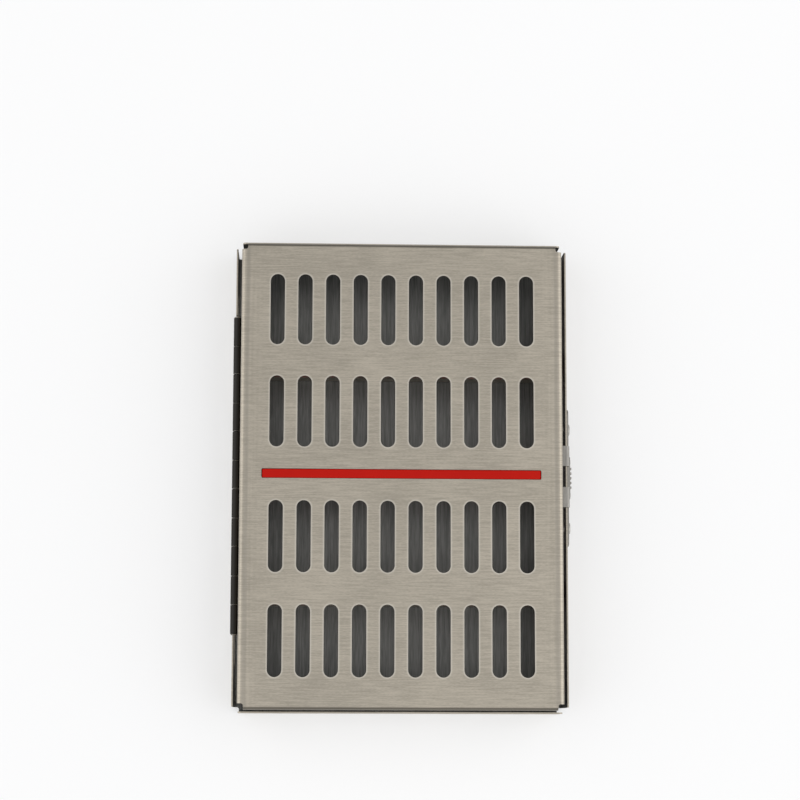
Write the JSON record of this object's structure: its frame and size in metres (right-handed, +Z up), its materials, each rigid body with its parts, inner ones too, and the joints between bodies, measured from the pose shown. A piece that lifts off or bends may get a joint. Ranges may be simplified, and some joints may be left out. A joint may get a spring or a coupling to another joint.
{
  "type": "dental instrument cassette",
  "caption": "Hinged perforated steel case with notched silicone inserts that holds dental instruments for washing, sterilising and carrying.",
  "frame": {"origin": "middle of the tray's flat underside", "axes": "+Z up through the lid, +Y along the instruments, +X from the hinge towards the latch"},
  "size_m": [0.1435, 0.198, 0.03],
  "materials": {
    "sheet_steel": "satin brushed stainless steel sheet",
    "hinge_steel": "dull unpolished stainless steel",
    "latch_steel": "satin stainless steel",
    "rivet_steel": "bright stainless steel",
    "red_silicone": "matt moulded silicone"
  },
  "bodies": {
    "tray": {"tray": "sheet_steel", "front_insert_rail": "sheet_steel", "rear_insert_rail": "sheet_steel", "front_silicone_insert": "red_silicone", "rear_silicone_insert": "red_silicone", "tray_hinge_leaf": "hinge_steel", "hinge_pin": "hinge_steel", "tray_leaf_rivets": "rivet_steel", "rail_rivets": "rivet_steel", "latch_washers": "rivet_steel", "latch_guide_rivets": "rivet_steel"},
    "lid": {"lid_panel": "sheet_steel", "lid_hinge_leaf": "hinge_steel", "lid_leaf_rivets": "rivet_steel", "strip_channel": "sheet_steel", "lid_strip": "red_silicone"},
    "latch": {"latch_bar": "latch_steel", "latch_thumb_pad": "latch_steel", "thumb_pad_rivets": "rivet_steel"}
  },
  "joints": [
    {"name": "lid_hinge", "type": "hinge", "parent": "tray", "child": "lid", "pos_m": [-0.06935, 0, 0.023], "axis": [0, -1, 0], "range_deg": [0, 180]},
    {"name": "latch_slide", "type": "slide", "parent": "tray", "child": "latch", "axis": [0, 1, 0], "range_m": [0, 0.0065]}
  ]
}
